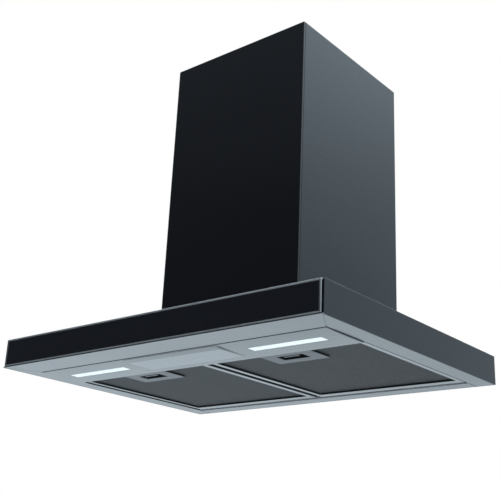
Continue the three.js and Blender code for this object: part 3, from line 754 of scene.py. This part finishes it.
# Aluminium frame round the front glass, with a rounded outer edge. The glass is fitted into it.
def glassFrame():
    low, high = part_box("front_glass")
    front, back = low.y + frameBars["setBack"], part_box("glass_trim")[0].y
    half = high.x + frameBars["past"]
    top, bottom = high.z + frameBars["pastTop"], low.z - frameBars["pastBottom"]
    radius = frameBars["round"]
    none = {"side": 0.0, "top": 0.0, "bottom": 0.0}
    rings = [(none, back)]
    for step in range(frameBars["steps"] + 1):
        turn = math.pi / 2 * step / frameBars["steps"]
        inset = radius * (1 - math.cos(turn))
        rings.append((dict.fromkeys(none, inset), front + radius * (1 - math.sin(turn))))
    rings += [(frameBars, front), (frameBars, back)]
    shape = bmesh.new()
    loops = []
    for reach, y in rings:
        x, up, down = half - reach["side"], top - reach["top"], bottom + reach["bottom"]
        loops.append([shape.verts.new(place) for place in
                      ((x, y, down), (x, y, up), (-x, y, up), (-x, y, down))])
    for ring in range(len(loops)):
        this, following = loops[ring], loops[(ring + 1) % len(loops)]
        for k in range(4):
            n = (k + 1) % 4
            shape.faces.new((this[k], this[n], following[n], following[k]))
    bmesh.ops.recalc_face_normals(shape, faces=shape.faces)
    mesh = meshOf(shape, "glass_frame", finishes["aluminium"], trimFinish)
    for face in mesh.polygons:      # the long bars get the brighter copy of the aluminium: painted light
        face.material_index = int(abs(face.center.x) < half / 2)
    mesh.shade_smooth()
    mesh.set_sharp_from_angle(angle=math.radians(frameBars["crease"]))
    show(mesh, "glass_trim")
    opening = (half - frameBars["side"], top - frameBars["top"], bottom + frameBars["bottom"])
    middle = (low.z + high.z) / 2
    for point in pieces["front_glass"].data.vertices:
        point.co.x *= opening[0] / high.x
        edge = opening[1] if point.co.z > middle else opening[2]
        cad = high.z if point.co.z > middle else low.z
        point.co.z = middle + (point.co.z - middle) * (edge - middle) / (cad - middle)


glassFrame()
print("front glass framed")


# A solid with the given outline, pushed along one axis. The outline runs over the other two axes.
def pushed(name, look, outline, axis, start, end):
    shape = bmesh.new()
    rings = []
    for level in (start, end):
        places = [[*point[:axis], level, *point[axis:]] for point in outline]
        rings.append([shape.verts.new(place) for place in places])
    count = len(outline)
    for k in range(count):
        n = (k + 1) % count
        shape.faces.new((rings[0][k], rings[0][n], rings[1][n], rings[1][k]))
    shape.faces.new(rings[0])
    shape.faces.new(rings[1])
    bmesh.ops.recalc_face_normals(shape, faces=shape.faces)
    return meshOf(shape, name, look)


sideFold = {
    "thick": 0.0008,
    "height": 0.0040,
    "up": 0.0007,
    "end": 0.0001,       # a point of the panel's end lies within this of it
    "under": 0.0003,     # and at least this far below the flange
}


# Folds that close the ends of the lamp panel.
def panelFolds():
    low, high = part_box("lamp_panel")
    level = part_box("underside_frame")[0].z
    points = sorted((point.co.y, point.co.z) for point in nodes["lamp_panel"].data.vertices
                    if high.x - point.co.x < sideFold["end"]
                    and point.co.z < level - sideFold["under"])
    under = []      # the lower edge of the end bulges down, so each turn goes one way
    for y, z in points:
        while len(under) > 1 and ((under[-1][0] - under[-2][0]) * (z - under[-2][1])
                                  <= (under[-1][1] - under[-2][1]) * (y - under[-2][0])):
            under.pop()
        under.append((y, z))
    outline = [(y, z + sideFold["up"]) for y, z in under]
    upper = level + sideFold["height"]
    outline += [(outline[-1][0], upper), (outline[0][0], upper)]
    for side, outer in (("left", low.x), ("right", high.x)):
        inner = outer * (1 - sideFold["thick"] / high.x)
        add(pushed("panel_fold_" + side, panelFinish, outline, 0, inner, outer),
            "hood")


seal = {"gap": 0.0001, "width": 0.00085, "low": -0.0002, "high": 0.0050, "rear": 0.0140, "steps": 6}


# Soft black seal strip along each side of the opening, which also stands in for the dark shade line at
# the seam: painted shade. Its lower edge is round.
def sideShadeSeals():
    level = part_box("underside_frame")[0].z
    front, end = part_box("lamp_panel")
    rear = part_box("filter_frame_left")[1].y - seal["rear"]
    for side, toward in (("left", -1), ("right", 1)):
        near = end.x + seal["gap"]
        radius = seal["width"] / 2
        outline = [(toward * near, level + seal["high"])]
        for step in range(seal["steps"] + 1):
            turn = math.pi * step / seal["steps"]
            outline.append((toward * (near + radius - radius * math.cos(turn)),
                            level + seal["low"] + radius - radius * math.sin(turn)))
        outline.append((toward * (near + seal["width"]), level + seal["high"]))
        add(pushed("side_shade_seal_" + side, shadeFinish, outline, 1, front.y, rear),
            "hood")


panelFolds()
sideShadeSeals()
print("panel ends and seals made")


# A closed solid turned round an axis through place, from pairs of radius and height.
def turned(shape, place, axis, profile, sides):
    turn = Vector(axis).to_track_quat("Z", "Y").to_matrix()
    angles = [2 * math.pi * k / sides for k in range(sides)]
    rings = []
    for radius, height in profile:
        points = [(radius * math.cos(angle), radius * math.sin(angle), height)
                  for angle in (angles if radius > 0 else angles[:1])]
        rings.append([shape.verts.new(Vector(place) + turn @ Vector(point)) for point in points])
    for lower, upper in zip(rings, rings[1:]):
        for k in range(sides):
            n = (k + 1) % sides
            corners = [lower[k % len(lower)], lower[n % len(lower)],
                       upper[n % len(upper)], upper[k % len(upper)]]
            shape.faces.new(list(dict.fromkeys(corners)))


fixings = {
    # radius and height in metres, from the face that the head sits on, and the number of sides
    "washer": ([(0, 0), (0.0042, 0), (0.0045, 0.0004), (0.0043, 0.0010), (0, 0.0010)], 20),
    "hexHead": ([(0, 0.0010), (0.0030, 0.0010), (0.0031, 0.0013), (0.0031, 0.0028),
                 (0.0026, 0.0034), (0.0014, 0.0034), (0.0008, 0.0026), (0, 0.0026)], 6),
    "rivet": ([(0, 0), (0.0032, 0), (0.0031, 0.0005), (0.0026, 0.0011), (0.0017, 0.0014),
               (0.0010, 0.0014), (0.0008, 0.0009), (0, 0.0009)], 16),
}
headCrease = 35.0      # degrees
upward = (0, 0, 1)


# Screws or rivets on one level face of the hood, as one piece.
def fasteners(name, kinds, places):
    shape = bmesh.new()
    for place in places:
        for kind in kinds:
            turned(shape, place, upward, *fixings[kind])
    bmesh.ops.recalc_face_normals(shape, faces=shape.faces)
    mesh = meshOf(shape, name, finishes["aluminium"])
    mesh.shade_smooth()
    mesh.set_sharp_from_angle(angle=math.radians(headCrease))
    add(mesh, "hood")


collar = {"screws": 6, "first": math.pi / 6, "flange": 0.0020, "ring": 0.0795}
terminal = {"inset": 0.0100}
boxRivets = {"count": 4, "inset": 0.0060, "from": 0.020}


def insideFixings():
    low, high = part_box("outlet_collar")
    centre = (low + high) / 2
    angles = [collar["first"] + 2 * math.pi * k / collar["screws"] for k in range(collar["screws"])]
    ring = [(centre.x + collar["ring"] * math.cos(angle), centre.y + collar["ring"] * math.sin(angle),
             low.z + collar["flange"]) for angle in angles]
    fasteners("collar_screws", ["washer", "hexHead"], ring)
    low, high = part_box("terminal_box")
    inset = terminal["inset"]
    corners = [(x, y, high.z) for x in (low.x + inset, high.x - inset)
               for y in (low.y + inset, high.y - inset)]
    fasteners("terminal_screws", ["rivet"], corners)
    low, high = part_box("fan_box")
    first, last = low.y + boxRivets["from"], high.y - boxRivets["from"]
    steps = boxRivets["count"] - 1
    edge = high.x - boxRivets["inset"]
    tops = [(x, first + (last - first) * k / steps, high.z)
            for x in (-edge, edge) for k in range(boxRivets["count"])]
    fasteners("fan_box_rivets", ["rivet"], tops)


insideFixings()
print("fixings made")


expanded = {
    "pitch": (0.0080, 0.0046),   # long and short way of a diamond
    "hole": 0.66,                # its opening as a share of the pitch
    "thick": 0.00012,
    "lean": 0.00006,             # the strands lie askew, as stretching leaves them
    "off": 0.00015,              # from the mesh pack to the middle of the sheet
    "margin": 0.0008,
    "clear": 0.0015,             # round the finger cup
}


# Expanded sheet over one face of a mesh pack: a closed lattice with a diamond hole in each cell.
def expandedSheet(side, place):
    low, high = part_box("filter_mesh_" + side)
    cupLow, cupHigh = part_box("filter_handle_" + side)
    pitchX, pitchY = expanded["pitch"]
    columns = int((high.x - low.x - 2 * expanded["margin"]) / pitchX)
    rows = int((high.y - low.y - 2 * expanded["margin"]) / pitchY)
    startX = (low.x + high.x - columns * pitchX) / 2
    startY = (low.y + high.y - rows * pitchY) / 2
    level = low.z - expanded["off"] if place == "lower" else high.z + expanded["off"]
    clear = expanded["clear"]
    shape = bmesh.new()
    crossings = {}
    runs = {}

    def pair(x, y, lean=0.0):
        return [shape.verts.new((x, y, level + lean + face * expanded["thick"] / 2))
                for face in (-1, 1)]

    def overCup(x, y):
        return (cupLow.x - clear < x < cupHigh.x + clear
                and cupLow.y - clear < y < cupHigh.y + clear)

    for row in range(2 * rows - 1):
        for column in range(row % 2, 2 * columns - 1, 2):
            x = startX + (column + 1) * pitchX / 2
            y = startY + (row + 1) * pitchY / 2
            if overCup(x, y):
                continue
            outer, inner = [], []
            for dx, dy in ((1, 0), (0, 1), (-1, 0), (0, -1)):
                key = (column + dx, row + dy)
                stepX, stepY = dx * pitchX / 2, dy * pitchY / 2
                if key not in crossings:
                    crossings[key] = pair(x + stepX, y + stepY)
                outer.append(key)
                inner.append(pair(x + stepX * expanded["hole"], y + stepY * expanded["hole"],
                                  -dy * expanded["lean"]))
            for k in range(4):
                n = (k + 1) % 4
                a, b, c, d = crossings[outer[k]], crossings[outer[n]], inner[k], inner[n]
                shape.faces.new((a[0], c[0], d[0], b[0]))
                shape.faces.new((a[1], b[1], d[1], c[1]))
                shape.faces.new((c[0], c[1], d[1], d[0]))
                run = frozenset((outer[k], outer[n]))
                runs[run] = None if run in runs else (a, b)
    for a, b in filter(None, runs.values()):      # runs beside one hole only are the sheet's edge
        shape.faces.new((a[0], b[0], b[1], a[1]))
    add(meshOf(shape, "expanded_" + place + "_" + side, wireFinish),
        bodyOf["filter_mesh_" + side])


for side in ("left", "right"):
    for place in ("lower", "upper"):
        expandedSheet(side, place)
print("filters covered")


view = {
    "place": (0.88103, -1.28081, -0.5496),
    "right": (0.77484, 0.63072, 0.04259),
    "up": (0.18454, -0.29012, 0.93903),
    "back": (0.60462, -0.71974, -0.34119),
    "lens": 65.643,
    "sensor": 36.0,
    "nearest": 0.01,
}
camera = bpy.data.objects.new("camera", bpy.data.cameras.new("camera"))
turn = Matrix([view["right"], view["up"], view["back"]]).transposed()
camera.matrix_world = Matrix.Translation(view["place"]) @ turn.to_4x4()
camera.data.lens = view["lens"]
camera.data.sensor_width = view["sensor"]
camera.data.clip_start = view["nearest"]
bpy.context.collection.objects.link(camera)
bpy.context.scene.camera = camera
bpy.context.scene.view_settings.view_transform = "Standard"

studio = {
    "floorDepth": 3.2,
    "floorSize": 10.0,
    "tint": (0.80, 0.92, 1.0, 1.0),
    "backdrop": (1.0, 1.0, 1.0, 1.0),
    "nadir": 0.33,                        # how bright the room is low down
    "horizon": 0.80,
    "lowSpan": (-0.60, -0.42),
    "left": 0.95,                         # its left and right sides against that
    "right": 0.72,
    "sideSpan": (-0.80, -0.35),
    "ceiling": 2.7,                       # what the ceiling adds
    "ceilingSpan": (0.38, 0.80),
    "darkWall": 0.10,                     # share of that light left in front on the left
    "darkWallSide": (-0.60, -0.72, 0.34),
    "darkWallSpan": (0.10, 0.90),
}

world = bpy.data.worlds.new("studio")
world.use_nodes = True
bpy.context.scene.world = world
room = Graph(world.node_tree)
towards = room.node("ShaderNodeTexCoord", output="Generated")
across, _, rise = room.split(towards)
level = room.span(rise, *studio["lowSpan"], studio["nadir"], studio["horizon"])
level = level * room.span(across, *studio["sideSpan"], studio["left"], studio["right"])
level = level + room.span(rise, *studio["ceilingSpan"], 0.0, studio["ceiling"])
facing = room.node("ShaderNodeVectorMath", {"operation": "DOT_PRODUCT"},
                   {0: towards, 1: studio["darkWallSide"]}, output="Value")
level = level * room.span(facing, *studio["darkWallSpan"], 1.0, studio["darkWall"])
light = room.node("ShaderNodeBackground", {}, {0: studio["tint"], 1: level})
backdrop = room.node("ShaderNodeBackground", {}, {0: studio["backdrop"], 1: 1.0})
seen = room.node("ShaderNodeLightPath", output="Is Camera Ray")
mixed = room.node("ShaderNodeMixShader", {}, {0: seen, 1: light, 2: backdrop})
room.feed(world.node_tree.nodes["World Output"].inputs[0], mixed)

half = studio["floorSize"] / 2
low = cadBox[0][2] - studio["floorDepth"]
corners = [(-half, -half, low), (half, -half, low), (half, half, low), (-half, half, low)]
floorMesh = bpy.data.meshes.new("floor")
floorMesh.from_pydata(corners, [], [(0, 1, 2, 3)])
floorMesh.materials.append(plastic("floorPaint"))
floor = link(floorMesh)
floor.visible_glossy = False      # the steel reflects the room, not the floor
print("studio set")


bpy.context.view_layer.update()
